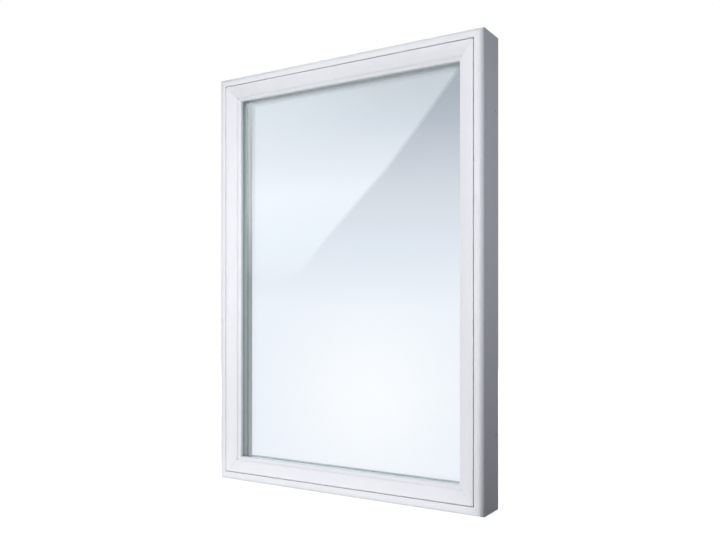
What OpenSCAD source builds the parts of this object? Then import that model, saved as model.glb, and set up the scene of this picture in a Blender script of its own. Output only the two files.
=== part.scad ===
// Fixed picture window: a white box frame of mitred hollow profiles, snap-in
// glazing beads on the outside and one sealed double-glazed unit.
// +Z is up, +Y points into the room, and the origin is under the middle of
// the sill. Every profile is drawn as [a, w]: a runs inwards from the outer
// face of the frame, and w runs back from the outside face of the window.

/* [Window] */
// Width over the frame
window_w = 672; // [560:1:1400]
// Height over the frame
window_h = 950; // [700:1:1800]
// Depth of the frame, outside to room side
frame_depth = 82.6; // [79:0.1:120]

/* [Frame profile] */
// Width of the rim that shows around the glazing bead
rim_w = 18.25; // [15:0.25:19]
// Height of the hollow base, from the outer face to the rebate floor
base_h = 35; // [33:0.5:42]
// Depth from the outside face to the seat of the glazing bead
seat_w = 18; // [17.5:0.1:19]
// Outer wall of the frame profile
wall_t = 2.2; // [1.8:0.1:2.6]
// Thin webs between the chambers
web_t = 1.5; // [1:0.1:1.8]
// Radius of the rounded outside corner
outer_r = 10.5; // [4:0.5:12]
// Radius of the small edges
edge_r = 1.2; // [0.5:0.1:1.5]
// Height of the glazing leg above the rebate floor
leg_h = 18; // [15:0.5:20]
// Thickness of the glazing leg
leg_t = 10; // [8:0.5:12]

/* [Glazing bead] */
// Shadow groove between the rim and the bead
groove_w = 1.5; // [1:0.25:3]
// Height of the rebate that the bead covers, rebate floor to sight line
cover_h = 19.5; // [17:0.5:22]
// How far the bevelled face falls back
bevel_drop = 8.5; // [5:0.5:9.5]
// Width of the flatter, crowned stretch where the bevel begins
crown_w = 8; // [6:0.5:9]
// Radius of that crown
crown_r = 50; // [20:5:50]
// Step down from the bevel to the lip
step_drop = 3; // [2.5:0.5:4.5]
// How far that step leans inwards
step_lean = 2.2; // [1:0.1:3]
// Width of the lip beside the glass
lip_w = 6.2; // [5:0.2:9]
// How far the lip falls towards the glass
lip_drop = 3.2; // [1:0.1:4]
// Radius of the rounded nose of the lip
nose_r = 3.2; // [1:0.1:4]
// How far the bead reaches past its seat into the rebate
bead_toe = 3; // [2:0.25:3.5]
// Wall of the bead
bead_t = 1.8; // [1.4:0.1:2]
// Gap that lets the bead snap in
snap_gap = 0.4; // [0.2:0.05:0.6]
// Distance from the bead's edge to its hook
hook_in = 6.2; // [5:0.1:7]
// Length of the hook behind the bead
hook_l = 6.4; // [5.5:0.1:7]

/* [Insulating glass] */
// Thickness of each pane
pane_t = 4; // [3:0.5:5]
// Gap between the panes
cavity_w = 14; // [12:0.5:15]
// Gap from the glass edge to the rebate floor
edge_gap = 6; // [4:0.5:7]
// Depth of the edge sealant
seal_h = 4.5; // [3:0.5:5]
// Height of the spacer bar
spacer_h = 7; // [6:0.5:8]
// Wall of the spacer bar
spacer_t = 0.6; // [0.4:0.1:0.8]
// Leg of each corner key inside its bar
key_l = 24; // [15:1:35]
// Play of a corner key inside its bar
key_gap = 0.15; // [0.1:0.05:0.3]
// Bond line between the sealant and the spacer bars
bond_gap = 0.05; // [0.02:0.01:0.1]
// Thickness of the outer gasket
gasket_t = 3; // [2:0.25:3.5]
// Thickness of the inner glazing tape
tape_t = 2; // [1.5:0.25:3]

/* [Glazing blocks] */
// Length of each setting block under the glass
block_l = 100; // [60:5:120]
// Length of each side block
side_block_l = 60; // [40:5:80]
// Distance of each side block from the corner of the frame
side_block_in = 210; // [150:5:230]

/* [Fastening and drainage] */
// Clearance hole for a fixing screw in the outer wall
screw_d = 5; // [4:0.5:6]
// Access hole for the screw head in the ledge
access_d = 10; // [9:0.5:11]
// Distance of each screw from the corner of the frame
screw_in = 150; // [120:5:200]
// Head of the cap that closes the access hole
cap_d = 14; // [13:0.5:16]
// Thickness of the cap's head
cap_t = 1.6; // [1:0.1:2]
// How far the cap's stem reaches past the ledge wall
cap_reach = 3; // [2:0.5:5]
// Length of a drain slot
drain_l = 25; // [15:1:35]
// Width of a drain slot
drain_w = 5; // [4:0.5:6]
// Distance of the upper drain slots from the corner of the frame
drain_in = 110; // [90:5:120]
// Step sideways from each upper slot to the slot in the underside
drain_step = 60; // [45:5:70]

/* [Hidden] */

// Overlap that keeps a cut clear of the face it goes through
lap = 0.5;
// Facets of a drawn circle
round_fn = 64;

// Places across the profile
bead_a = rim_w + groove_w;
sight_a = base_h + cover_h;
leg_a = base_h + leg_h;
glass_a = base_h + edge_gap;
spacer_a = glass_a + seal_h;
spacer_top_a = spacer_a + spacer_h;
lip_a = sight_a - lip_w;
// The bevel is flatter over its first stretch
crown_a = bead_a + crown_w;
crown_drop = 0.14 * bevel_drop;
shoulder_a = lip_a - step_lean;
shoulder_r = 2.2;
valley_r = 0.8;

// Places through the depth
bead_back_w = seat_w + bead_toe;
glass_w = bead_back_w + gasket_t;
cavity_0_w = glass_w + pane_t;
cavity_1_w = cavity_0_w + cavity_w;
glass_back_w = cavity_1_w + pane_t;
leg_w = glass_back_w + tape_t;
leg_back_w = leg_w + leg_t;
ledge_mid_w = (leg_back_w + frame_depth) / 2;

// Groove in the base that the bead's hook snaps into
hook_a = bead_a + hook_in;
barb = 2;
barb_t = 1;
barb_room = 1.3;
slot_a0 = hook_a - snap_gap;
slot_a1 = hook_a + bead_t + snap_gap;
channel_a0 = slot_a0 - barb_room;
channel_a1 = hook_a + bead_t + barb + barb_room;
channel_w = seat_w + hook_l + 1;
// Thin web halfway between the bead's groove and the leg
mid_web_w = (channel_w + web_t + leg_w - web_t) / 2;

// Blocks fill the rebate from the bead's toe to the leg
block_play = 0.5;
block_w0 = bead_back_w + block_play;
block_w1 = leg_w - block_play;
block_groove_w = 3;

// Taper at the tip of a corner key's leg
key_taper = 3;
cap_play = 0.3;
cap_stem_l = wall_t + cap_reach;

pvc = [0.95, 0.955, 0.965];
rubber = [0.45, 0.47, 0.47];

function unit(v) = v / norm(v);
function left_of(u) = [-u.y, u.x];
function turn_deg(u, v) = atan2(u.x * v.y - u.y * v.x, u * v);
function points(corners) = [for (c = corners) [c[0], c[1]]];
function before(p, i) = p[(i + len(p) - 1) % len(p)];
function after(p, i) = p[(i + 1) % len(p)];
// The point where two edges meet once both are moved by t along their normals
function moved_corner(at, m, k, t) = at + t * (m + k) / (1 + m * k);

// The same outline moved inwards by t, with its radii kept above zero
function inset(corners, t) =
    let (p = points(corners))
    [for (i = [0 : len(p) - 1])
        let (
            m = left_of(unit(p[i] - before(p, i))),
            k = left_of(unit(after(p, i) - p[i])),
            q = moved_corner(p[i], m, k, t)
        )
        [q.x, q.y, max(0, corners[i][2] - t)]];

function turns_in(p, i) = turn_deg(p[i] - before(p, i), after(p, i) - p[i]) < 0;
// Where the arc of a corner leaves one edge and where it meets the next
function arc_ends(p, i, r) =
    let (
        u = unit(p[i] - before(p, i)),
        v = unit(after(p, i) - p[i]),
        reach = r * tan(abs(turn_deg(u, v)) / 2)
    )
    [p[i] - u * reach, p[i] + v * reach];

// An outline given as [a, w, radius] corners, anticlockwise, with true arcs.
// A corner that turns in is filled straight across first, then cut to its arc.
module outline(corners) {
    p = points(corners);
    difference() {
        polygon([for (i = [0 : len(p) - 1])
            each turns_in(p, i) ? arc_ends(p, i, corners[i][2]) : [p[i]]]);
        for (i = [0 : len(p) - 1])
            if (corners[i][2] > 0) corner_cut(p, i, corners[i][2]);
    }
}

module corner_cut(p, i, r) {
    ends = arc_ends(p, i, r);
    m = left_of(unit(p[i] - before(p, i)));
    k = left_of(unit(after(p, i) - p[i]));
    if (turns_in(p, i))
        translate(ends[0] - m * r) circle(r, $fn = round_fn);
    else
        difference() {
            polygon([ends[0], ends[0] - m * lap, moved_corner(p[i], m, k, -lap),
                     ends[1] - k * lap, ends[1]]);
            translate(ends[0] + m * r) circle(r, $fn = round_fn);
        }
}

module rect(a0, w0, a1, w1) {
    translate([a0, w0]) square([a1 - a0, w1 - w0]);
}

// Hollow frame profile: the rim in front, the base behind it, and the leg
// that the glass is pressed against
function frame_corners() = [
    [0, 0, outer_r],
    [rim_w, 0, edge_r],
    [rim_w, seat_w, 0],
    [base_h, seat_w, 0],
    [base_h, leg_w, 0],
    [leg_a, leg_w, edge_r],
    [leg_a, leg_back_w, 2 * edge_r],
    [base_h, leg_back_w, edge_r],
    [base_h, frame_depth, edge_r],
    [0, frame_depth, edge_r]
];

module frame_profile() {
    difference() {
        outline(frame_corners());
        outline([
            [wall_t, wall_t, outer_r - wall_t],
            [rim_w - wall_t, wall_t, 0],
            [rim_w - wall_t, seat_w, 0],
            [wall_t, seat_w, 0]
        ]);
        bead_groove();
        base_chambers();
    }
}

module bead_groove() {
    rect(slot_a0, seat_w - lap, slot_a1, seat_w + wall_t + lap);
    rect(channel_a0, seat_w + wall_t, channel_a1, channel_w);
}

module base_chambers() {
    front_w = seat_w + wall_t;
    back_w = frame_depth - wall_t;
    difference() {
        rect(wall_t, front_w, base_h - wall_t, mid_web_w - web_t / 2);
        rect(channel_a0 - web_t, front_w - lap, base_h, channel_w + web_t);
    }
    rect(wall_t, mid_web_w + web_t / 2, base_h - wall_t, leg_w);
    rect(wall_t, leg_w + wall_t, leg_a - wall_t, leg_back_w - wall_t);
    rect(wall_t, leg_back_w, base_h - wall_t, back_w);
}

// Hollow glazing bead: bevel, step and lip in front, a foot on the seat, and
// a toe that reaches into the rebate
function bead_corners() =
    let (valley_w = bevel_drop + step_drop, toe_a = base_h + snap_gap)
    [
        [bead_a, 0, edge_r],
        [crown_a, crown_drop, crown_r],
        [shoulder_a, bevel_drop, shoulder_r],
        [lip_a, valley_w, valley_r],
        [sight_a, valley_w + lip_drop, nose_r],
        [sight_a, bead_back_w, 0],
        [toe_a, bead_back_w, edge_r / 2],
        [toe_a, seat_w, 0],
        [bead_a, seat_w, edge_r / 2]
    ];

module bead_profile() {
    difference() {
        outline(bead_corners());
        outline(inset(bead_corners(), bead_t));
    }
    bead_hook();
}

// Hook that snaps behind the front wall of the base
module bead_hook() {
    root_w = seat_w - bead_t / 2;
    catch_w = seat_w + wall_t + snap_gap / 2;
    tip_w = seat_w + hook_l;
    stem_a = hook_a + bead_t;
    polygon([
        [hook_a, root_w],
        [stem_a, root_w],
        [stem_a, catch_w],
        [stem_a + barb, catch_w],
        [stem_a + barb, catch_w + barb_t],
        [stem_a, tip_w],
        [hook_a, tip_w]
    ]);
}

// Soft outer gasket, pinched between the bead and the glass, with a rounded
// edge a little behind the sight line
module gasket_profile() {
    edge_a = sight_a - 0.3;
    outline([
        [lip_a, bead_back_w, 0],
        [edge_a, bead_back_w, 0],
        [edge_a, glass_w, gasket_t / 3],
        [lip_a, glass_w, 0]
    ]);
}

module tape_profile() {
    rect(glass_a + tape_t, glass_back_w, leg_a - edge_r, leg_w);
}

// Spacer bar: a thin box whose outer corners are cut back for the sealant
function spacer_corners() =
    let (cut = spacer_h / 3)
    [
        [spacer_a + cut, cavity_0_w, 0],
        [spacer_top_a, cavity_0_w, 0],
        [spacer_top_a, cavity_1_w, 0],
        [spacer_a + cut, cavity_1_w, 0],
        [spacer_a, cavity_1_w - cut, 0],
        [spacer_a, cavity_0_w + cut, 0]
    ];

module spacer_profile() {
    difference() {
        outline(spacer_corners());
        outline(inset(spacer_corners(), spacer_t));
    }
}

module seal_profile() {
    difference() {
        rect(glass_a, cavity_0_w, spacer_a + spacer_h / 3, cavity_1_w);
        outline(inset(spacer_corners(), -bond_gap));
    }
}

// Setting block with drainage grooves under it
module block_profile() {
    third = (block_w1 - block_w0) / 3;
    difference() {
        rect(base_h, block_w0, glass_a, block_w1);
        for (i = [1, 2])
            rect(base_h - lap, block_w0 + i * third - block_groove_w / 2,
                 base_h + edge_gap / 3, block_w0 + i * third + block_groove_w / 2);
    }
}

// A profile of the given length along +Z, cut at 45 degrees at both ends
module mitred(length) {
    reach = sight_a + lap;
    intersection() {
        linear_extrude(length) children();
        rotate([90, 0, 0]) translate([0, 0, -frame_depth - lap])
            linear_extrude(frame_depth + 2 * lap)
                polygon([[0, 0], [reach, reach], [reach, length - reach], [0, length]]);
    }
}

// A profile of the given length along +Z, cut square at both ends
module square_cut(start, length) {
    translate([0, 0, start]) linear_extrude(length) children();
}

// Puts a member that is drawn as the left one on any side of the window
module on_left() {
    translate([-window_w / 2, -frame_depth / 2, 0]) children();
}

module on_right() {
    mirror([1, 0, 0]) on_left() children();
}

module on_sill() {
    translate([window_w / 2, -frame_depth / 2, 0]) rotate([0, -90, 0]) children();
}

module on_head() {
    translate([0, 0, window_h]) mirror([0, 0, 1]) on_sill() children();
}

// Frame members
module frame_member(length) {
    color(pvc) mitred(length) frame_profile();
}

module frame_jamb() {
    difference() {
        frame_member(window_h);
        for (z = [screw_in, window_h - screw_in])
            translate([0, ledge_mid_w, z]) rotate([0, 90, 0]) {
                translate([0, 0, -lap])
                    cylinder(h = wall_t + 2 * lap, d = screw_d, $fn = round_fn);
                translate([0, 0, base_h - wall_t - lap])
                    cylinder(h = wall_t + 2 * lap, d = access_d, $fn = round_fn);
            }
    }
}

// Drain slot through a wall of the sill, long along the sill
module drain_slot(wall_a, along) {
    span = drain_l - drain_w;
    slot_w = (mid_web_w + leg_w) / 2;
    translate([wall_a - lap, slot_w, along]) rotate([0, 90, 0]) {
        for (s = [-1, 1])
            translate([s * span / 2, 0, 0])
                cylinder(h = wall_t + 2 * lap, d = drain_w, $fn = round_fn);
        translate([-span / 2, -drain_w / 2, 0])
            cube([span, drain_w, wall_t + 2 * lap]);
    }
}

module frame_sill() {
    difference() {
        frame_member(window_w);
        for (along = [drain_in, window_w - drain_in])
            drain_slot(base_h - wall_t, along);
        for (along = [drain_in + drain_step, window_w - drain_in - drain_step])
            drain_slot(0, along);
    }
}

module bead_member(length) {
    color(pvc) mitred(length) bead_profile();
}

module gasket_member(length) {
    color(rubber) mitred(length) gasket_profile();
}

module tape_member(length) {
    color(rubber) mitred(length) tape_profile();
}

// Sealed unit
module pane(depth_w) {
    color([0.78, 0.9, 0.86, 0.35])
        translate([-window_w / 2 + glass_a, -frame_depth / 2 + depth_w, glass_a])
            cube([window_w - 2 * glass_a, pane_t, window_h - 2 * glass_a]);
}

module edge_seal() {
    color([0.2, 0.2, 0.21]) {
        on_left() mitred(window_h) seal_profile();
        on_right() mitred(window_h) seal_profile();
        on_sill() mitred(window_w) seal_profile();
        on_head() mitred(window_w) seal_profile();
    }
}

module spacer_bar(length) {
    color([0.72, 0.74, 0.75])
        square_cut(spacer_top_a, length - 2 * spacer_top_a) spacer_profile();
}

// Corner key drawn for the bottom left corner: a block flush with the bars
// and one tapered leg inside each bar
module corner_key() {
    color([0.3, 0.31, 0.32]) {
        intersection() {
            key_bar() outline(spacer_corners());
            mirror([1, 0, -1]) key_bar() outline(spacer_corners());
        }
        key_leg();
        mirror([1, 0, -1]) key_leg();
    }
}

module key_bar() {
    square_cut(spacer_a - lap, spacer_h + lap) children();
}

module key_leg() {
    tip = spacer_top_a + key_l;
    intersection() {
        square_cut(spacer_top_a - lap, key_l + lap)
            outline(inset(spacer_corners(), spacer_t + key_gap));
        rotate([90, 0, 0]) translate([0, 0, -frame_depth])
            linear_extrude(frame_depth)
                polygon([
                    [spacer_a, spacer_a],
                    [spacer_top_a, spacer_a],
                    [spacer_top_a, tip - key_taper],
                    [spacer_top_a - key_taper / 2, tip],
                    [spacer_a + key_taper / 2, tip],
                    [spacer_a, tip - key_taper]
                ]);
    }
}

// Blocks that carry and centre the glass
module glazing_block(middle, length) {
    color([0.16, 0.17, 0.18])
        square_cut(middle - length / 2, length) block_profile();
}

// Cap in an access hole, its head on the ledge and a short hollow stem in it
module screw_cap(along) {
    stem_d = access_d - cap_play;
    color(pvc)
        translate([base_h, ledge_mid_w, along]) rotate([0, 90, 0]) difference() {
            union() {
                translate([0, 0, -cap_stem_l])
                    cylinder(h = cap_stem_l + lap, d = stem_d, $fn = round_fn);
                cylinder(h = cap_t / 2, d = cap_d, $fn = round_fn);
                translate([0, 0, cap_t / 2])
                    cylinder(h = cap_t / 2, d1 = cap_d, d2 = cap_d - cap_t, $fn = round_fn);
            }
            translate([0, 0, -cap_stem_l - lap])
                cylinder(h = cap_stem_l + lap, d = stem_d - 2 * web_t, $fn = round_fn);
        }
}

on_head() frame_member(window_w);  // frame_head
on_sill() frame_sill();
on_left() frame_jamb();  // frame_jamb_left
on_right() frame_jamb();  // frame_jamb_right

on_head() bead_member(window_w);  // bead_head
on_sill() bead_member(window_w);  // bead_sill
on_left() bead_member(window_h);  // bead_left
on_right() bead_member(window_h);  // bead_right

on_head() gasket_member(window_w);  // gasket_head
on_sill() gasket_member(window_w);  // gasket_sill
on_left() gasket_member(window_h);  // gasket_left
on_right() gasket_member(window_h);  // gasket_right

on_head() tape_member(window_w);  // tape_head
on_sill() tape_member(window_w);  // tape_sill
on_left() tape_member(window_h);  // tape_left
on_right() tape_member(window_h);  // tape_right

pane(glass_w);  // glass_outer
pane(cavity_1_w);  // glass_inner
edge_seal();

on_head() spacer_bar(window_w);  // spacer_head
on_sill() spacer_bar(window_w);  // spacer_sill
on_left() spacer_bar(window_h);  // spacer_left
on_right() spacer_bar(window_h);  // spacer_right

on_left() corner_key();  // corner_key_bottom_left
on_right() corner_key();  // corner_key_bottom_right
translate([0, 0, window_h]) mirror([0, 0, 1]) on_left() corner_key();  // corner_key_top_left
translate([0, 0, window_h]) mirror([0, 0, 1]) on_right() corner_key();  // corner_key_top_right

on_sill() glazing_block(window_w / 2 + (window_w - 2 * glass_a) / 4, block_l);  // setting_block_left
on_sill() glazing_block(window_w / 2 - (window_w - 2 * glass_a) / 4, block_l);  // setting_block_right
on_left() glazing_block(side_block_in, side_block_l);  // side_block_left_lower
on_left() glazing_block(window_h - side_block_in, side_block_l);  // side_block_left_upper
on_right() glazing_block(side_block_in, side_block_l);  // side_block_right_lower
on_right() glazing_block(window_h - side_block_in, side_block_l);  // side_block_right_upper

on_left() screw_cap(screw_in);  // screw_cap_left_lower
on_left() screw_cap(window_h - screw_in);  // screw_cap_left_upper
on_right() screw_cap(screw_in);  // screw_cap_right_lower
on_right() screw_cap(window_h - screw_in);  // screw_cap_right_upper
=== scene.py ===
"""Fixed picture window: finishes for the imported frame, the butyl lines it has no solids for, and the studio.

Places across a profile are given as in the frame: a runs inwards from the outer face of the frame, and w
runs back from the outside face of the window. +Z is up and +Y points into the room.
"""

import math

import bpy
import numpy as np
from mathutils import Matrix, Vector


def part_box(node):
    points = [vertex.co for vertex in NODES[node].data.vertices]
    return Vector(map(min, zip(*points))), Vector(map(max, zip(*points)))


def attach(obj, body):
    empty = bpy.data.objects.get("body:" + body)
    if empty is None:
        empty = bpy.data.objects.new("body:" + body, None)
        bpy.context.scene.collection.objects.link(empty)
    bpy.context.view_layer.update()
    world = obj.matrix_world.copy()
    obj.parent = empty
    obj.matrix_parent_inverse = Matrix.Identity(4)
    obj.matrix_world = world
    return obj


bl_info = {
    "name": "Fixed Picture Window",
    "version": (1, 0, 0),
    "blender": (4, 5, 0),
    "location": "3D View > Sidebar > Picture Window",
    "description": "Finishes a fixed picture window and sets up its studio",
    "category": "Object",
}

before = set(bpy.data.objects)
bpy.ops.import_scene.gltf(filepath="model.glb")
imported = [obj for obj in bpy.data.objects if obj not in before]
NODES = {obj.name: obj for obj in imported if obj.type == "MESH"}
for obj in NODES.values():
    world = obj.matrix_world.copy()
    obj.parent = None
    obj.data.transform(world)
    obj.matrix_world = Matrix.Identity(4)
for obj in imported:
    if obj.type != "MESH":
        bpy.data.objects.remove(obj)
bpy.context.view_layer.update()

BODY = "root"

SIDES = ("head", "sill", "left", "right")
FRAME_NODES = ("frame_head", "frame_sill", "frame_jamb_left", "frame_jamb_right")
BEAD_NODES = tuple(f"bead_{side}" for side in SIDES)


# Sizes read from the frame

def named(part):
    """Names of the nodes that begin with a word."""
    return [name for name in NODES if name.startswith(part)]


def span(names):
    """Lowest and highest corner of several nodes together."""
    boxes = [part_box(name) for name in names]
    return np.min([b[0] for b in boxes], axis=0), np.max([b[1] for b in boxes], axis=0)


LOW, HIGH = span(FRAME_NODES)
WIDTH, _, HEIGHT = (float(size) for size in HIGH - LOW)
MIDDLE = float(LOW[2]) + HEIGHT / 2
CAVITY_FRONT = float(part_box("glass_outer")[1].y)
CAVITY_BACK = float(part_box("glass_inner")[0].y)
SPACER_TOP = float(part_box("spacer_left")[1].x - LOW[0])
GLASS_EDGE = float(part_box("glass_outer")[0].x - LOW[0])


# What a user may change

class VinylLook(bpy.types.PropertyGroup):
    """Finish of the white vinyl."""
    color: bpy.props.FloatVectorProperty(
        name="Vinyl", description="Colour of the white vinyl", subtype="COLOR",
        size=3, min=0, max=1, default=(0.865, 0.878, 0.900))
    roughness: bpy.props.FloatProperty(
        name="Roughness", description="How matt the extruded face is", min=0, max=1, default=0.36,
        subtype="FACTOR")
    streak: bpy.props.FloatProperty(
        name="Streaks", description="Height of the faint lines that the die leaves along each profile",
        min=0, max=0.0001, default=0.000004, precision=6, unit="LENGTH")
    seam: bpy.props.FloatProperty(
        name="Weld seam", description="Width of the cleaned seam at each corner of the frame",
        min=0.0002, max=0.004, default=0.0016, precision=4, unit="LENGTH")
    joint: bpy.props.FloatProperty(
        name="Bead joint", description="Width of the hairline where two beads meet",
        min=0.0001, max=0.001, default=0.0003, precision=4, unit="LENGTH")


class GlassLook(bpy.types.PropertyGroup):
    """Finish of the sealed unit."""
    tint: bpy.props.FloatVectorProperty(
        name="Tint", description="Colour that each pane gives to what is seen through it", subtype="COLOR",
        size=3, min=0, max=1, default=(0.972, 0.990, 0.984))
    edge: bpy.props.FloatVectorProperty(
        name="Cut edge", description="Green of the glass at its cut edge", subtype="COLOR",
        size=3, min=0, max=1, default=(0.30, 0.62, 0.50))
    ior: bpy.props.FloatProperty(
        name="IOR", description="Refractive index, which sets how strongly the glass reflects",
        min=1, max=3, default=1.52)
    spacer: bpy.props.FloatVectorProperty(
        name="Spacer", description="Colour of the aluminium spacer bars", subtype="COLOR",
        size=3, min=0, max=1, default=(0.55, 0.655, 0.61))
    pitch: bpy.props.FloatProperty(
        name="Slit pitch", description="Distance between the breather slits of a spacer bar",
        min=0.001, max=0.02, default=0.0035, precision=4, unit="LENGTH")
    butyl: bpy.props.FloatProperty(
        name="Butyl", description="Radius of the butyl line beside each pane",
        min=0.0002, max=0.002, default=0.0006, precision=4, unit="LENGTH")


class StudioLook(bpy.types.PropertyGroup):
    """Light and camera of the studio."""
    front: bpy.props.FloatProperty(
        name="Front lights", description="Power of the soft boxes in front, together", min=0, max=1000,
        default=20.4, unit="POWER")
    side: bpy.props.FloatProperty(
        name="Side lights", description="Power of the light on each side", min=0, max=1000,
        default=2.65, unit="POWER")
    top: bpy.props.FloatProperty(
        name="Top light", description="Power of the light above", min=0, max=1000, default=6.0, unit="POWER")
    low: bpy.props.FloatProperty(
        name="Low light", description="Power of the light that the floor in front throws back", min=0,
        max=1000, default=1.2, unit="POWER")
    room: bpy.props.FloatProperty(
        name="Room lights", description="Power of the lights on the room side, together", min=0, max=1000,
        default=105, unit="POWER")
    ambient: bpy.props.FloatVectorProperty(
        name="Ambient", description="Light from all around", subtype="COLOR",
        size=3, min=0, max=4, default=(0.008, 0.008, 0.009))
    sheen: bpy.props.FloatProperty(
        name="Sheen", description="Brightness of the panel that the glass reflects", min=0, max=10,
        default=1.3)
    lens: bpy.props.FloatProperty(
        name="Lens", description="Focal length", min=10, max=200, default=38.18, unit="CAMERA")
    heading: bpy.props.FloatProperty(
        name="Heading", description="Turn of the level camera from straight on", subtype="ANGLE",
        default=math.radians(31.72), unit="ROTATION")
    place: bpy.props.FloatVectorProperty(
        name="Camera", description="Place of the camera", subtype="TRANSLATION", size=3,
        default=(0.909, -1.4175, 0.4037), unit="LENGTH")
    shift: bpy.props.FloatProperty(
        name="Shift", description="Vertical shift of the picture", min=-1, max=1, default=0.0514)


# Wiring of shader nodes

class Wiring:
    """Adds nodes to one node tree and joins them."""

    def __init__(self, tree):
        self.nodes, self.links = tree.nodes, tree.links

    def put(self, socket, value):
        """Sets a socket to a number or colour, or joins another socket to it."""
        if isinstance(value, bpy.types.NodeSocket):
            self.links.new(value, socket)
        elif socket.type == "RGBA":
            socket.default_value = (*value[:3], 1)
        else:
            socket.default_value = value

    def add(self, kind, inputs=None, **settings):
        """A node with its settings, and numbers or sockets on its inputs."""
        node = self.nodes.new(kind)
        for name, value in settings.items():
            setattr(node, name, value)
        for name, value in (inputs or {}).items():
            self.put(node.inputs[name], value)
        return node

    def math(self, operation, *values, clamp=False):
        """Output of a Math node."""
        return self.add("ShaderNodeMath", dict(enumerate(values)), operation=operation,
                        use_clamp=clamp).outputs[0]

    def vector(self, operation, *values):
        """First output of a Vector Math node that has a value to give."""
        node = self.add("ShaderNodeVectorMath", dict(enumerate(values)), operation=operation)
        return node.outputs["Value" if operation in ("LENGTH", "DISTANCE") else "Vector"]

    def ramp(self, value, start, end, low=0.0, high=1.0, smooth=True):
        """A value brought from the range start to end into the range low to high, and held there."""
        kind = "SMOOTHSTEP" if smooth else "LINEAR"
        return self.add("ShaderNodeMapRange",
                        {"Value": value, "From Min": start, "From Max": end, "To Min": low, "To Max": high},
                        interpolation_type=kind).outputs["Result"]

    def mix(self, factor, first, second):
        """Two colours mixed by a factor."""
        return self.add("ShaderNodeMix", {0: factor, 6: first, 7: second}, data_type="RGBA").outputs[2]

    def noise(self, vector, scale, detail=2.0, roughness=0.5):
        """A noise texture's value."""
        return self.add("ShaderNodeTexNoise", {"Vector": vector, "Scale": scale, "Detail": detail,
                                               "Roughness": roughness}).outputs["Fac"]

    def split(self, vector):
        """The three outputs of Separate XYZ."""
        return self.add("ShaderNodeSeparateXYZ", {0: vector}).outputs

    def join(self, x, y, z):
        """The output of Combine XYZ."""
        return self.add("ShaderNodeCombineXYZ", {0: x, 1: y, 2: z}).outputs[0]

    def place(self):
        """Object coordinates of the surface."""
        return self.add("ShaderNodeTexCoord").outputs["Object"]

    def group(self, name, inputs):
        """The outputs of a shared effect, with this material's values."""
        node = self.add("ShaderNodeGroup", node_tree=bpy.data.node_groups[name])
        for socket, value in inputs.items():
            self.put(node.inputs[socket], value)
        return node.outputs


def effect(name, inputs, outputs):
    """An empty shared effect with named inputs and outputs, as its wiring, its inputs and its output node."""
    tree = bpy.data.node_groups.new(name, "ShaderNodeTree")
    kinds = {"value": "NodeSocketFloat", "vector": "NodeSocketVector"}
    for label, (kind, default) in inputs.items():
        socket = tree.interface.new_socket(label, in_out="INPUT", socket_type=kinds[kind])
        if default is not None:
            socket.default_value = default
    for label, kind in outputs.items():
        tree.interface.new_socket(label, in_out="OUTPUT", socket_type=kinds[kind])
    wires = Wiring(tree)
    return wires, wires.nodes.new("NodeGroupInput").outputs, wires.nodes.new("NodeGroupOutput")


def new_material(name):
    """A node material: its wiring, its Principled shader and its output."""
    material = bpy.data.materials.new(name)
    material.use_nodes = True
    wires = Wiring(material.node_tree)
    return material, wires, wires.nodes["Principled BSDF"], wires.nodes["Material Output"]


# Effects that several materials share

def build_profile_place():
    """Where a point lies on a picture-frame profile.

    Across is the distance from the nearest outer edge, the least of half the width less |x| and half the
    height less |z from the middle|. Mitre is the difference of those two over the square root of 2, the
    distance from the corner line. Along runs with the member, and Grain is the place stretched along it.
    """
    wires, given, out = effect(
        "profile_place",
        {"Vector": ("vector", None), "Half Width": ("value", 0.3), "Half Height": ("value", 0.5),
         "Middle": ("value", 0.5), "Stretch": ("value", 0.02)},
        {"Across": "value", "Along": "value", "Mitre": "value", "Grain": "vector"})
    x, y, z = wires.split(given["Vector"])
    up = wires.math("SUBTRACT", z, given["Middle"])
    from_side = wires.math("SUBTRACT", given["Half Width"], wires.math("ABSOLUTE", x))
    from_end = wires.math("SUBTRACT", given["Half Height"], wires.math("ABSOLUTE", up))
    across = wires.math("MINIMUM", from_side, from_end)
    apart = wires.math("ABSOLUTE", wires.math("SUBTRACT", from_side, from_end))
    upright = wires.math("LESS_THAN", from_side, from_end)
    flat = wires.math("SUBTRACT", 1.0, upright)
    along = wires.math("ADD", wires.math("MULTIPLY", up, upright), wires.math("MULTIPLY", x, flat))
    wires.put(out.inputs["Across"], across)
    wires.put(out.inputs["Along"], along)
    wires.put(out.inputs["Mitre"], wires.math("MULTIPLY", apart, math.sqrt(0.5)))
    wires.put(out.inputs["Grain"], wires.join(across, y, wires.math("MULTIPLY", along, given["Stretch"])))


def build_die_lines():
    """Faint lines that an extrusion die leaves, from noise stretched along the profile, and a slow mottle."""
    wires, given, out = effect(
        "die_lines", {"Grain": ("vector", None), "Vector": ("vector", None), "Spacing": ("value", 0.0008)},
        {"Lines": "value", "Mottle": "value"})
    scale = wires.math("DIVIDE", 1.0, given["Spacing"])
    wires.put(out.inputs["Lines"], wires.noise(given["Grain"], scale, 3.0, 0.6))
    wires.put(out.inputs["Mottle"], wires.ramp(wires.noise(given["Vector"], 14.0, 2.0), 0.3, 0.7))


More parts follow.
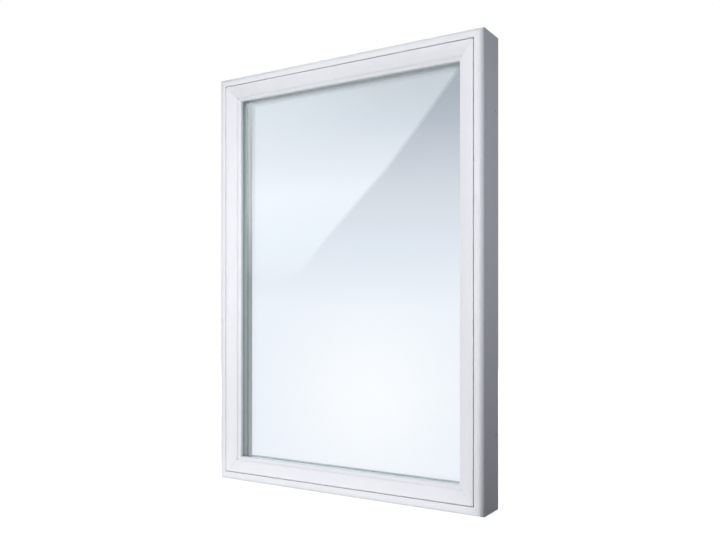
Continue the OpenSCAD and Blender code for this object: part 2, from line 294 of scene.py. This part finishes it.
def build_moulded_skin():
    """The skin of a moulded or cast part: a fine grain, slow flow marks, and a mask of small scuffs."""
    wires, given, out = effect(
        "moulded_skin", {"Vector": ("vector", None), "Grain Size": ("value", 0.0006)},
        {"Grain": "value", "Flow": "value", "Scuffs": "value"})
    scale = wires.math("DIVIDE", 1.0, given["Grain Size"])
    wires.put(out.inputs["Grain"], wires.noise(given["Vector"], scale, 2.0, 0.6))
    wires.put(out.inputs["Flow"], wires.noise(given["Vector"], 55.0, 2.0))
    scuffs = wires.noise(given["Vector"], 240.0, 4.0, 0.65)
    wires.put(out.inputs["Scuffs"], wires.ramp(scuffs, 0.60, 0.70))


EFFECTS = (build_profile_place, build_die_lines, build_moulded_skin)


def profile_place(wires, stretch=0.02):
    """The shared profile place, for this window's outer edges."""
    return wires.group("profile_place", {
        "Vector": wires.place(), "Half Width": WIDTH / 2, "Half Height": HEIGHT / 2,
        "Middle": MIDDLE, "Stretch": stretch})


def shade(color, amount):
    """A colour made lighter or darker."""
    return tuple(min(1.0, part * amount) for part in color)


# Materials

# How much darker the mottle of the vinyl is, and its refractive index
MOTTLE, VINYL_IOR = 0.985, 1.53
# How dark and how deep a joint is: the cleaned weld of the frame, or the hairline between two beads
JOINTS = {"weld": (0.93, 0.00025), "hairline": (0.45, 0.0002)}
# How far the die lines and a joint roughen the vinyl
LINE_ROUGH, JOINT_ROUGH = 0.08, 0.12


def vinyl_material(name, look, joint):
    """Extruded satin white vinyl. The joint is the weld of the frame, or the hairline between two beads."""
    material, wires, shader, _ = new_material(name)
    profile = profile_place(wires)
    skin = wires.group("die_lines", {"Grain": profile["Grain"], "Vector": wires.place()})
    width = look.seam if joint == "weld" else look.joint
    seam = wires.ramp(profile["Mitre"], width / 2, 0.0)
    color = wires.mix(skin["Mottle"], shade(look.color, MOTTLE), look.color)
    dark, groove = JOINTS[joint]
    wires.put(shader.inputs["Base Color"], wires.mix(seam, color, shade(look.color, dark)))
    rough = wires.math("MULTIPLY_ADD", skin["Lines"], LINE_ROUGH, look.roughness - LINE_ROUGH / 2)
    wires.put(shader.inputs["Roughness"], wires.math("MULTIPLY_ADD", seam, JOINT_ROUGH, rough))
    height = wires.math("MULTIPLY", skin["Lines"], look.streak)
    height = wires.math("MULTIPLY_ADD", seam, -groove, height)
    bump = wires.add("ShaderNodeBump", {"Height": height, "Distance": 1.0, "Strength": 1.0})
    wires.put(shader.inputs["Normal"], bump.outputs[0])
    shader.inputs["IOR"].default_value = VINYL_IOR
    return material


# How far the flow marks and the scuffs change the gloss of a moulded part, how far the marks change its
# colour, and how pale a scuff is
FLOW_ROUGH, SCUFF_ROUGH = 0.16, 0.2
FLOW_DARK, FLOW_LIGHT, SCUFF_PALE = 0.9, 1.1, 0.3


def moulded_material(name, color, roughness, grain_size=0.0006, grain=0.00003, scuffed=0.25):
    """A moulded or cast part: fine grain, flow marks in its gloss and paler scuffs."""
    material, wires, shader, _ = new_material(name)
    skin = wires.group("moulded_skin", {"Vector": wires.place(), "Grain Size": grain_size})
    base = wires.mix(skin["Flow"], shade(color, FLOW_DARK), shade(color, FLOW_LIGHT))
    scuffs = wires.math("MULTIPLY", skin["Scuffs"], scuffed)
    pale = tuple((1 - SCUFF_PALE) * part + SCUFF_PALE for part in color)
    wires.put(shader.inputs["Base Color"], wires.mix(scuffs, base, pale))
    rough = wires.math("MULTIPLY_ADD", skin["Flow"], FLOW_ROUGH, roughness - FLOW_ROUGH / 2)
    rough = wires.math("MULTIPLY_ADD", scuffs, SCUFF_ROUGH, rough, clamp=True)
    wires.put(shader.inputs["Roughness"], rough)
    height = wires.math("MULTIPLY", skin["Grain"], grain)
    bump = wires.add("ShaderNodeBump", {"Height": height, "Distance": 1.0, "Strength": 1.0})
    wires.put(shader.inputs["Normal"], bump.outputs[0])
    return material


# How dark the mottle of a rubber strip is, how far its grain changes its gloss, and the height of both
# its lines and its grain
RUBBER_DARK, RUBBER_ROUGH, RUBBER_HEIGHT = 0.85, 0.2, 0.00002


def rubber_material(name, color, roughness):
    """Extruded rubber or foam: lines along the strip over a fine open grain."""
    material, wires, shader, _ = new_material(name)
    profile = profile_place(wires)
    lines = wires.group("die_lines", {"Grain": profile["Grain"], "Vector": wires.place(), "Spacing": 0.0005})
    skin = wires.group("moulded_skin", {"Vector": wires.place(), "Grain Size": 0.0004})
    wires.put(shader.inputs["Base Color"], wires.mix(lines["Mottle"], shade(color, RUBBER_DARK), color))
    rough = wires.math("MULTIPLY_ADD", skin["Grain"], RUBBER_ROUGH, roughness - RUBBER_ROUGH / 2)
    wires.put(shader.inputs["Roughness"], rough)
    height = wires.math("MULTIPLY", lines["Lines"], RUBBER_HEIGHT)
    height = wires.math("MULTIPLY_ADD", skin["Grain"], RUBBER_HEIGHT, height)
    bump = wires.add("ShaderNodeBump", {"Height": height, "Distance": 1.0, "Strength": 1.0})
    wires.put(shader.inputs["Normal"], bump.outputs[0])
    return material


# Breather slits of a spacer bar: their width, the distance of each row from the middle of the bar, their
# depth, the near-black colour that paints the shade inside them, and half their length as a share of the
# pitch, outside and inside their soft end
SLIT_W, SLIT_ROW, SLIT_DEPTH = 0.0004, 0.0038, 0.0002
SLIT_SHADE_COLOR = (0.03, 0.03, 0.03)
SLIT_ENDS = (0.28, 0.24)


def spacer_material(name, look):
    """Rolled aluminium with two rows of breather slits, their insides painted dark as shade, along the face
    that looks into the cavity.
    """
    material, wires, shader, _ = new_material(name)
    profile = profile_place(wires, 0.004)
    lines = wires.group("die_lines", {"Grain": profile["Grain"], "Vector": wires.place(), "Spacing": 0.0004})
    depth = wires.split(wires.place())[1]
    from_middle = wires.math("ABSOLUTE", wires.math("SUBTRACT", depth, (CAVITY_FRONT + CAVITY_BACK) / 2))
    in_row = wires.ramp(wires.math("ABSOLUTE", wires.math("SUBTRACT", from_middle, SLIT_ROW)),
                        SLIT_W / 2, SLIT_W / 4)
    step = wires.math("PINGPONG", profile["Along"], look.pitch / 2)
    in_slit = wires.ramp(step, *(look.pitch * end for end in SLIT_ENDS))
    inner_face = wires.math("GREATER_THAN", profile["Across"], SPACER_TOP - 0.0001)
    slits = wires.math("MULTIPLY", wires.math("MULTIPLY", in_row, in_slit), inner_face)
    metal = wires.mix(lines["Lines"], shade(look.spacer, 0.94), shade(look.spacer, 1.06))
    # The slits are coloured near black: painted shade standing in for the dark inside each slit.
    wires.put(shader.inputs["Base Color"], wires.mix(slits, metal, SLIT_SHADE_COLOR))
    wires.put(shader.inputs["Roughness"], wires.math("MULTIPLY_ADD", lines["Lines"], 0.2, 0.28))
    height = wires.math("MULTIPLY", lines["Lines"], 0.000004)
    height = wires.math("MULTIPLY_ADD", slits, -SLIT_DEPTH, height)
    bump = wires.add("ShaderNodeBump", {"Height": height, "Distance": 1.0, "Strength": 1.0})
    wires.put(shader.inputs["Normal"], bump.outputs[0])
    shader.inputs["Metallic"].default_value = 1.0
    return material


# Share of the light that a shadow ray keeps at each face of a pane; the rest is mirrored away
SHADOW_PASS = 0.86
# How far in from its cut edge a pane is fully green, and where the green ends
GREEN_FULL, GREEN_END = 0.001, 0.007
# How close together the waves of the rolled surface are, and their height
WAVE_SCALE, WAVE_HEIGHT = 5.0, 0.00012


def glass_material(name, look):
    """Clear float glass, green towards its cut edge, with the slight waves of a rolled surface.

    Shadow rays pass with the tint alone, so that light reaches what stands behind the glass.
    """
    material, wires, shader, output = new_material(name)
    profile = profile_place(wires)
    near_edge = wires.ramp(profile["Across"], GLASS_EDGE + GREEN_END, GLASS_EDGE + GREEN_FULL)
    wires.put(shader.inputs["Base Color"], wires.mix(near_edge, look.tint, look.edge))
    shader.inputs["Roughness"].default_value = 0.0
    shader.inputs["IOR"].default_value = look.ior
    shader.inputs["Transmission Weight"].default_value = 1.0
    waves = wires.math("MULTIPLY", wires.noise(wires.place(), WAVE_SCALE, 1.0), WAVE_HEIGHT)
    bump = wires.add("ShaderNodeBump", {"Height": waves, "Distance": 1.0, "Strength": 1.0})
    wires.put(shader.inputs["Normal"], bump.outputs[0])
    through = wires.add("ShaderNodeBsdfTransparent", {"Color": shade(look.tint, SHADOW_PASS)})
    shadow = wires.add("ShaderNodeLightPath").outputs["Is Shadow Ray"]
    mix = wires.add("ShaderNodeMixShader", {0: shadow, 1: shader.outputs[0], 2: through.outputs[0]})
    wires.put(output.inputs["Surface"], mix.outputs[0])
    return material


def finish_nodes(names, material):
    """Puts one material on CAD nodes."""
    for name in names:
        for slot in NODES[name].material_slots:
            slot.material = material


# New pieces

def grid_piece(name, points, material):
    """A closed surface from a grid of points that runs round both ways, riding with the window.

    Face (i, j) joins rows i and i + 1 and columns j and j + 1, and the last row and column join
    the first.
    """
    rows, columns = points.shape[:2]
    i, j = np.meshgrid(np.arange(rows), np.arange(columns), indexing="ij")
    next_i, next_j = (i + 1) % rows, (j + 1) % columns
    faces = np.stack([i * columns + j, next_i * columns + j, next_i * columns + next_j, i * columns + next_j],
                     axis=-1).reshape(-1, 4)
    mesh = bpy.data.meshes.new(name)
    mesh.from_pydata(points.reshape(-1, 3), [], faces)
    mesh.materials.append(material)
    mesh.shade_smooth()
    piece = bpy.data.objects.new(name, mesh)
    bpy.context.scene.collection.objects.link(piece)
    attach(piece, BODY)
    return piece


def round_frame(inset, depth):
    """Points round the window, from the inset a and the place y of each, given as arrays of one shape.

    The second axis walks the four sides of the rectangle that lies a inside the outer edge, starting at the
    bottom left: along each side the walk is even, and its ends are the rectangle's corners.
    """
    stations = inset.shape[1]
    side, step = np.divmod(np.arange(stations) * 4 / stations, 1)
    side = side.astype(int)
    corners_x = np.array([-1, 1, 1, -1, -1])
    corners_z = np.array([-1, -1, 1, 1, -1])
    across = corners_x[side] * (1 - step) + corners_x[side + 1] * step
    upwards = corners_z[side] * (1 - step) + corners_z[side + 1] * step
    x = across * (WIDTH / 2 - inset)
    z = MIDDLE + upwards * (HEIGHT / 2 - inset)
    return np.stack([x, depth, z], axis=-1)


# The butyl line: its gap to the pane, and how flat its section is
BUTYL_GAP, BUTYL_FLAT = 0.00005, 0.9


def butyl_line(name, pane_y, inwards, radius, material):
    """The thin grey line of butyl in the corner between a pane and the spacer bars.

    Its section is a rounded bead: a = spacer top + flat r cos t, and the distance from the pane is
    gap + r (1 + sin t) / 2, for t round the circle. The radius r wanders along the line as 1 plus two
    sine waves, times the given radius.
    """
    stations, turns = 480, 10
    way = np.linspace(0, 2 * np.pi, stations, endpoint=False)
    wander = 1 + 0.16 * np.sin(23 * way + 0.7) + 0.10 * np.sin(61 * way)
    t = np.linspace(0, 2 * np.pi, turns, endpoint=False)[:, None]
    r = radius * wander[None, :]
    inset = SPACER_TOP + r * np.cos(t) * BUTYL_FLAT
    depth = pane_y + inwards * (BUTYL_GAP + r * (1 + np.sin(t)) / 2)
    points = round_frame(inset, depth)
    if inwards > 0:
        points = points[::-1]
    return grid_piece(name, points, material)


# Colours of the finishes that the panel doesn't offer
GASKET_COLOR = (0.84, 0.86, 0.86)
TAPE_COLOR = (0.42, 0.45, 0.44)
BLOCK_COLOR = (0.035, 0.038, 0.042)
KEY_COLOR = (0.42, 0.44, 0.44)
SEALANT_COLOR = (0.03, 0.03, 0.033)
BUTYL_COLOR = (0.40, 0.43, 0.42)


# Operators, one for each group of like pieces

class WINDOW_OT_build_effects(bpy.types.Operator):
    """Build the shader effects that the finishes share"""
    bl_idname = "window.build_effects"
    bl_label = "Build Effects"

    def execute(self, context):
        for build in EFFECTS:
            build()
        return {"FINISHED"}


class WINDOW_OT_dress_frame(bpy.types.Operator):
    """Finish the frame members, the glazing beads and the screw caps"""
    bl_idname = "window.dress_frame"
    bl_label = "Dress Frame"

    def execute(self, context):
        look = context.scene.window_vinyl
        finish_nodes(FRAME_NODES, vinyl_material("welded_vinyl", look, "weld"))
        finish_nodes(BEAD_NODES, vinyl_material("bead_vinyl_finish", look, "hairline"))
        finish_nodes(named("screw_cap"), moulded_material(
            "cap_finish", tuple(look.color), look.roughness + 0.06, 0.0005, 0.00002, 0.0))
        return {"FINISHED"}


class WINDOW_OT_dress_seals(bpy.types.Operator):
    """Finish the gaskets, the glazing tape and the blocks that seat the glass"""
    bl_idname = "window.dress_seals"
    bl_label = "Dress Seals"

    def execute(self, context):
        finish_nodes(named("gasket"), rubber_material("gasket_finish", GASKET_COLOR, 0.6))
        finish_nodes(named("tape"), rubber_material("tape_finish", TAPE_COLOR, 0.8))
        blocks = named("setting_block") + named("side_block")
        finish_nodes(blocks, moulded_material("block_finish", BLOCK_COLOR, 0.55, scuffed=0.15))
        return {"FINISHED"}


class WINDOW_OT_dress_glass(bpy.types.Operator):
    """Finish the panes, the spacer bars with their keys, and the sealant, and add the butyl lines"""
    bl_idname = "window.dress_glass"
    bl_label = "Dress Glass"

    def execute(self, context):
        look = context.scene.window_glass
        finish_nodes(named("glass"), glass_material("glass_finish", look))
        finish_nodes(named("spacer"), spacer_material("spacer_finish", look))
        finish_nodes(named("corner_key"), moulded_material("key_finish", KEY_COLOR, 0.5, scuffed=0.1))
        finish_nodes(("edge_seal",), moulded_material("sealant_finish", SEALANT_COLOR, 0.6, 0.002, 0.0001))
        butyl = moulded_material("butyl_finish", BUTYL_COLOR, 0.6, 0.0005, 0.00002, 0.1)
        butyl_line("butyl_outer", CAVITY_FRONT, 1, look.butyl, butyl)
        butyl_line("butyl_inner", CAVITY_BACK, -1, look.butyl, butyl)
        return {"FINISHED"}


class WINDOW_OT_build_studio(bpy.types.Operator):
    """Set up the floor, the surroundings, the lights and the camera"""
    bl_idname = "window.build_studio"
    bl_label = "Build Studio"

    def execute(self, context):
        look = context.scene.window_studio
        build_floor()
        build_world(look)
        build_sheen_panel(look)
        for name, kind, share, place, target, size, color, spread in LIGHTS:
            area_light(name, place, target, size, getattr(look, kind) * share, color, spread)
        place_camera(look)
        context.scene.view_settings.view_transform = "Standard"
        return {"FINISHED"}


# The studio

# Colours of the surroundings behind and in the glass, by the height of the direction looked in
SKY = (
    (0.000, (0.897, 0.917, 0.990)),
    (0.077, (0.783, 0.817, 0.905)),
    (0.153, (0.684, 0.710, 0.780)),
    (0.208, (0.571, 0.597, 0.673)),
    (0.245, (0.472, 0.512, 0.584)),
    (0.280, (0.415, 0.452, 0.505)),
    (0.600, (0.390, 0.420, 0.465)),
)
# Direction, reach and colour of the bright patch low behind the glass
GLOW_AIM = (-0.511, 0.852, -0.112)
GLOW_REACH = 0.17
GLOW_COLOR = (1.02, 1.015, 1.05)

PALE = (0.97, 0.973, 1.0)
COOL = (0.875, 0.90, 1.0)
# The soft lights: name, kind, share of that kind's power, place, the point each is turned to, size, colour,
# and the angle over which it spreads
OPEN, GRID = math.pi, math.radians(50)
LIGHTS = (
    ("front_left_box", "front", 0.416, (-1.05, -1.3, 0.3), (-1.05, 0, 0.3), (0.42, 0.42), PALE, OPEN),
    ("front_low_box", "front", 0.118, (0.12, -1.3, 0.3), (0.12, 0, 0.3), (0.42, 0.42), PALE, OPEN),
    ("front_high_box", "front", 0.248, (0.12, -1.3, 0.8), (0.12, 0, 0.8), (0.42, 0.42), PALE, OPEN),
    ("front_right_box", "front", 0.213, (0.65, -1.3, 0.8), (0.65, 0, 0.8), (0.42, 0.42), PALE, OPEN),
    ("front_grid_box", "front", 0.005, (0.32, -0.45, 0.60), (-0.28, -0.02, 0.60), (0.12, 0.6), PALE, GRID),
    ("right_light", "side", 1.0, (1.25, -0.1, 0.70), (0.33, 0, 0.70), (0.5, 0.5), COOL, OPEN),
    ("left_light", "side", 1.0, (-1.25, -0.1, 0.70), (-0.33, 0, 0.70), (0.5, 0.5), COOL, OPEN),
    ("top_light", "top", 1.0, (0, -0.5, 2.0), (0, 0, 0.6), (0.6, 0.6), PALE, OPEN),
    ("low_light", "low", 1.0, (-0.03, -0.39, 0.0004), (-0.03, -0.39, 1), (0.72, 0.71), PALE, OPEN),
    ("room_light", "room", 0.903, (-0.9, 3.2, 1.3), (0, 0, 0.4), (1.2, 1.2), PALE, OPEN),
    ("room_top_light", "room", 0.085, (-0.35, 0.6, 2.2), (-0.35, 0.6, 0), (0.4, 0.4), PALE, OPEN),
    ("room_low_light", "room", 0.012, (-0.03, 0.42, 0.0004), (-0.03, 0.42, 1), (0.66, 0.7), PALE, OPEN),
)

# What satin surfaces mirror, low down and high up, and the heights between which it changes
SATIN_LOW = (0.10, 0.10, 0.11)
SATIN_HIGH = (0.16, 0.16, 0.18)
SATIN_EDGE = (-0.15, 0.25)
# How the metal in the glass sees the sky: darker below the horizon and brighter above it, and brighter
# still where it looks up and to the left
METAL_EDGE, METAL_GAIN = (-0.03, 0.07), (0.63, 1.12)
METAL_LEFT, METAL_UP, METAL_LIFT = (0.0, -0.35), (0.0, 0.15), 1.8
# Direction, reach and brightness of the soft bright patch in front that satin surfaces mirror
SATIN_AIM = (0.0, -1.0, 0.05)
SATIN_REACH = (0.75, 0.15)
SATIN_BRIGHT = (1.6, 1.62, 1.68)

# The panel that the glass reflects as a slanting sheen: its place in front, its outline as x and z, and the
# heights between which it fades in
PANEL_Y = -3.0
PANEL_OUTLINE = ((-3.6, 3.3), (-3.6, 1.26), (-2.79, 0.69), (-2.60, 0.555), (-2.30, 0.68), (-2.069, 0.917),
                 (-1.613, 1.324), (-1.121, 1.867), (-0.4, 2.75), (-0.4, 3.3))
PANEL_FADE = (0.58, 1.20)
# It is brighter towards its top left, and a strip along its left edge is brighter still
PANEL_RISE = (1.45, 1.95)
PANEL_SIDE = (-1.2, -2.4)
PANEL_STRIP = (-2.735, -2.745)
PANEL_LIFT, STRIP_GAIN = 0.35, 2.0
PANEL_COLOR = (0.97, 1.0, 0.99)


# The floor: how far it reaches, its drop below the window, its tone by the window, and the distances
# between which that tone turns white
FLOOR_REACH, FLOOR_DROP = 40.0, 0.0002
FLOOR_NEAR, FLOOR_FADE = 0.80, (0.6, 2.4)


def build_floor():
    """A wide floor under the window: white to the camera, with the window's soft shadow on it.

    Light that bounces finds it dark, so that it doesn't light the window from below.
    """
    mesh = bpy.data.meshes.new("floor")
    reach, z = FLOOR_REACH, float(LOW[2]) - FLOOR_DROP
    corners = [(-reach, -reach, z), (reach, -reach, z), (reach, reach, z), (-reach, reach, z)]
    mesh.from_pydata(corners, [], [(0, 1, 2, 3)])
    floor = bpy.data.objects.new("floor", mesh)
    bpy.context.scene.collection.objects.link(floor)
    material, wires, shader, _ = new_material("floor_paper")
    seen = wires.add("ShaderNodeLightPath").outputs["Is Camera Ray"]
    away = wires.vector("LENGTH", wires.place())
    glow = wires.ramp(away, *FLOOR_FADE, FLOOR_NEAR, 1.0)
    wires.put(shader.inputs["Base Color"], wires.mix(seen, (0.10, 0.10, 0.105), (0.5, 0.5, 0.5)))
    wires.put(shader.inputs["Emission Color"], wires.mix(seen, (0, 0, 0), wires.join(glow, glow, glow)))
    shader.inputs["Emission Strength"].default_value = 1.0
    shader.inputs["Roughness"].default_value = 0.9
    shader.inputs["Specular IOR Level"].default_value = 0.0
    mesh.materials.append(material)
    floor.visible_transmission = False
    floor.visible_glossy = False


def build_world(look):
    """White behind the object, plain soft light on it, and a pale sky that darkens upwards for the glass."""
    world = bpy.data.worlds.new("studio_world")
    bpy.context.scene.world = world
    world.use_nodes = True
    wires = Wiring(world.node_tree)
    wires.nodes.clear()
    path = wires.add("ShaderNodeLightPath").outputs
    aim = wires.add("ShaderNodeTexCoord").outputs["Generated"]
    across, depth, up = wires.split(aim)
    ramp = wires.add("ShaderNodeValToRGB", {"Fac": up})
    stops = ramp.color_ramp.elements
    while len(stops) < len(SKY):
        stops.new(0.5)
    for stop, (height, color) in zip(stops, SKY):
        stop.position = height
        stop.color = (*color, 1)
    near = wires.ramp(wires.vector("DISTANCE", aim, GLOW_AIM), GLOW_REACH, 0.0)
    sky = wires.mix(near, ramp.outputs["Color"], GLOW_COLOR)
    gain = wires.ramp(up, *METAL_EDGE, *METAL_GAIN)
    lift = wires.math("MULTIPLY", wires.ramp(across, *METAL_LEFT), wires.ramp(up, *METAL_UP))
    gain = wires.math("MULTIPLY_ADD", lift, METAL_LIFT, gain)
    metal = wires.vector("MULTIPLY", sky, wires.join(gain, gain, gain))
    bounced = wires.math("MINIMUM", path["Glossy Depth"], 1.0)
    bounced = wires.math("MULTIPLY", bounced, wires.ramp(depth, 0.0, 0.2))
    sky = wires.mix(bounced, sky, metal)
    satin = wires.mix(wires.ramp(up, *SATIN_EDGE), SATIN_LOW, SATIN_HIGH)
    front = wires.ramp(wires.vector("DISTANCE", aim, SATIN_AIM), *SATIN_REACH)
    satin = wires.mix(front, satin, SATIN_BRIGHT)
    light = wires.mix(path["Is Glossy Ray"], tuple(look.ambient), satin)
    clear = wires.math("MAXIMUM", path["Is Transmission Ray"], path["Is Singular Ray"])
    light = wires.mix(clear, light, sky)
    color = wires.mix(path["Is Camera Ray"], light, (1, 1, 1))
    background = wires.add("ShaderNodeBackground", {"Color": color})
    output = wires.add("ShaderNodeOutputWorld")
    wires.put(output.inputs["Surface"], background.outputs[0])


def build_sheen_panel(look):
    """A pale panel at the front left, brighter towards its top, seen only by mirrored rays."""
    mesh = bpy.data.meshes.new("sheen_panel")
    corners = [(x, PANEL_Y, z) for x, z in PANEL_OUTLINE]
    mesh.from_pydata(corners, [], [tuple(range(len(corners)))])
    panel = bpy.data.objects.new("sheen_panel", mesh)
    bpy.context.scene.collection.objects.link(panel)
    material, wires, _, output = new_material("sheen_glow")
    across, _, height = wires.split(wires.place())
    corner = wires.math("MULTIPLY", wires.ramp(height, *PANEL_RISE), wires.ramp(across, *PANEL_SIDE))
    strip = wires.ramp(across, *PANEL_STRIP, 1.0, STRIP_GAIN)
    gain = wires.math("MULTIPLY_ADD", corner, PANEL_LIFT, strip)
    bright = wires.ramp(height, *PANEL_FADE, 0.0, look.sheen, smooth=False)
    bright = wires.math("MULTIPLY", bright, gain)
    mirrored = wires.math("MINIMUM", wires.add("ShaderNodeLightPath").outputs["Glossy Depth"], 1.0)
    bright = wires.math("MULTIPLY", bright, mirrored)
    glow = wires.add("ShaderNodeEmission", {"Color": PANEL_COLOR, "Strength": bright})
    clear = wires.add("ShaderNodeBsdfTransparent")
    both = wires.add("ShaderNodeAddShader", {0: glow.outputs[0], 1: clear.outputs[0]})
    wires.put(output.inputs["Surface"], both.outputs[0])
    mesh.materials.append(material)
    for rays in ("camera", "diffuse", "volume_scatter", "shadow"):
        setattr(panel, f"visible_{rays}", False)


def area_light(name, place, target, size, power, color, spread):
    """A rectangular light turned towards a point, which the glass doesn't mirror."""
    data = bpy.data.lights.new(name, "AREA")
    data.shape = "RECTANGLE"
    data.size, data.size_y = size
    data.energy = power
    data.color = color
    data.spread = spread
    light = bpy.data.objects.new(name, data)
    bpy.context.scene.collection.objects.link(light)
    light.location = place
    aim = np.subtract(target, place)
    across = math.hypot(aim[0], aim[1])
    light.rotation_euler = (math.atan2(across, -aim[2]), 0, math.atan2(-aim[0], aim[1]))
    for rays in ("camera", "glossy", "transmission"):
        setattr(light, f"visible_{rays}", False)


def place_camera(look):
    """The photograph's camera: level, at the front right."""
    data = bpy.data.cameras.new("camera")
    data.lens = look.lens
    data.sensor_width = 36.0
    data.shift_y = look.shift
    camera = bpy.data.objects.new("camera", data)
    bpy.context.scene.collection.objects.link(camera)
    camera.location = look.place
    camera.rotation_euler = (math.pi / 2, 0, look.heading)
    bpy.context.scene.camera = camera


class WINDOW_PT_panel(bpy.types.Panel):
    """Lists the steps that finish the window"""
    bl_label = "Picture Window"
    bl_idname = "WINDOW_PT_panel"
    bl_space_type = "VIEW_3D"
    bl_region_type = "UI"
    bl_category = "Picture Window"

    def draw(self, context):
        for operator in OPERATORS:
            self.layout.operator(operator.bl_idname)


GROUPS = {"window_vinyl": VinylLook, "window_glass": GlassLook, "window_studio": StudioLook}
OPERATORS = (WINDOW_OT_build_effects, WINDOW_OT_dress_frame, WINDOW_OT_dress_seals, WINDOW_OT_dress_glass,
             WINDOW_OT_build_studio)
CLASSES = (*GROUPS.values(), *OPERATORS, WINDOW_PT_panel)


def register():
    for cls in CLASSES:
        bpy.utils.register_class(cls)
    for name, group in GROUPS.items():
        setattr(bpy.types.Scene, name, bpy.props.PointerProperty(type=group))


def unregister():
    for name in GROUPS:
        delattr(bpy.types.Scene, name)
    for cls in reversed(CLASSES):
        bpy.utils.unregister_class(cls)


def main():
    """Finishes the window step by step."""
    register()
    bpy.ops.window.build_effects()
    bpy.ops.window.dress_frame()
    bpy.ops.window.dress_seals()
    bpy.ops.window.dress_glass()
    bpy.ops.window.build_studio()
    bpy.context.view_layer.update()


if __name__ == "__main__":
    main()
